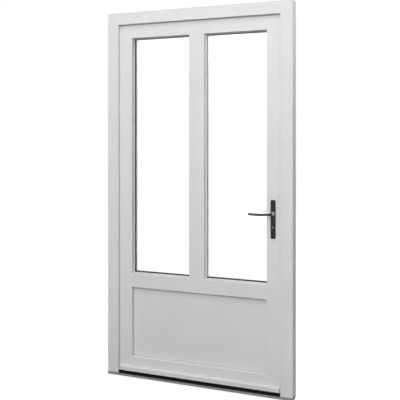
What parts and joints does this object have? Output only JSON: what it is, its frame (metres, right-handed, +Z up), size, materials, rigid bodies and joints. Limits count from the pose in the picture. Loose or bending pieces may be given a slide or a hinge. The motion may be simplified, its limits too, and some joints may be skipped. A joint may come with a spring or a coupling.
{
  "type": "front door",
  "caption": "White plastic front door: rebated frame and threshold, inward-opening leaf with two tall panes over a solid panel, weather bar, hinges and lever handles.",
  "frame": {"origin": "centre of the threshold's underside, half way through the frame's depth", "axes": "+X to the right as seen from outside, +Y into the building, +Z up"},
  "size_m": [1.1, 0.192, 2.1],
  "materials": {
    "white_pvc": "smooth satin",
    "clear_glass": "clear",
    "satin_glass": "satin etched",
    "grey_rubber": "matt",
    "black_rubber": "matt",
    "pale_spacer": "matt",
    "black_core": "matt",
    "threshold_aluminium": "anodised",
    "anthracite_metal": "dark satin",
    "bare_steel": "zinc plated",
    "nickel_brass": "satin nickel",
    "white_hinge_metal": "powder coat"
  },
  "bodies": {
    "frame": {"frame_hinge_jamb": "white_pvc", "frame_lock_jamb": "white_pvc", "frame_head": "white_pvc", "threshold_nosing": "threshold_aluminium", "threshold_core": "black_core", "threshold_inner_rail": "threshold_aluminium", "frame_seal": "grey_rubber", "hinge_pins": "bare_steel", "lock_keep_plate": "bare_steel", "top_hinge_frame_part": "white_hinge_metal", "middle_hinge_frame_part": "white_hinge_metal", "bottom_hinge_frame_part": "white_hinge_metal"},
    "leaf": {"bottom_hinge_leaf_part": "white_hinge_metal", "bottom_panel": "white_pvc", "bottom_sweep_seal": "black_rubber", "inner_handle_plate": "anthracite_metal", "leaf_bottom_rail": "white_pvc", "leaf_hinge_stile": "white_pvc", "leaf_lock_stile": "white_pvc", "leaf_mid_rail": "white_pvc", "leaf_mullion": "white_pvc", "leaf_seal": "grey_rubber", "leaf_top_rail": "white_pvc", "left_pane_beads": "white_pvc", "left_pane_inner_gasket": "grey_rubber", "left_pane_inner_glass": "satin_glass", "left_pane_outer_gasket": "black_rubber", "left_pane_outer_glass": "clear_glass", "left_pane_spacer": "pale_spacer", "lock_cylinder": "nickel_brass", "lock_faceplate": "bare_steel", "middle_hinge_leaf_part": "white_hinge_metal", "outer_handle_plate": "anthracite_metal", "panel_beads": "white_pvc", "panel_inner_gasket": "grey_rubber", "panel_outer_gasket": "black_rubber", "right_pane_beads": "white_pvc", "right_pane_inner_gasket": "grey_rubber", "right_pane_inner_glass": "satin_glass", "right_pane_outer_gasket": "black_rubber", "right_pane_outer_glass": "clear_glass", "right_pane_spacer": "pale_spacer", "top_hinge_leaf_part": "white_hinge_metal", "weather_bar": "white_pvc"},
    "handle": {"outer_lever": "anthracite_metal", "inner_lever": "anthracite_metal", "spindle": "bare_steel"}
  },
  "joints": [
    {"name": "leaf_swing", "type": "hinge", "parent": "frame", "child": "leaf", "pos_m": [-0.521, 0.068, 1.05], "axis": [0, 0, 1], "range_deg": [0, 110]},
    {"name": "lever_turn", "type": "hinge", "parent": "leaf", "child": "handle", "pos_m": [0.4395, 0.021, 0.974], "axis": [0, -1, 0], "range_deg": [0, 40], "stiffness_Nm_per_rad": 1.2, "springref_deg": -45.84}
  ]
}
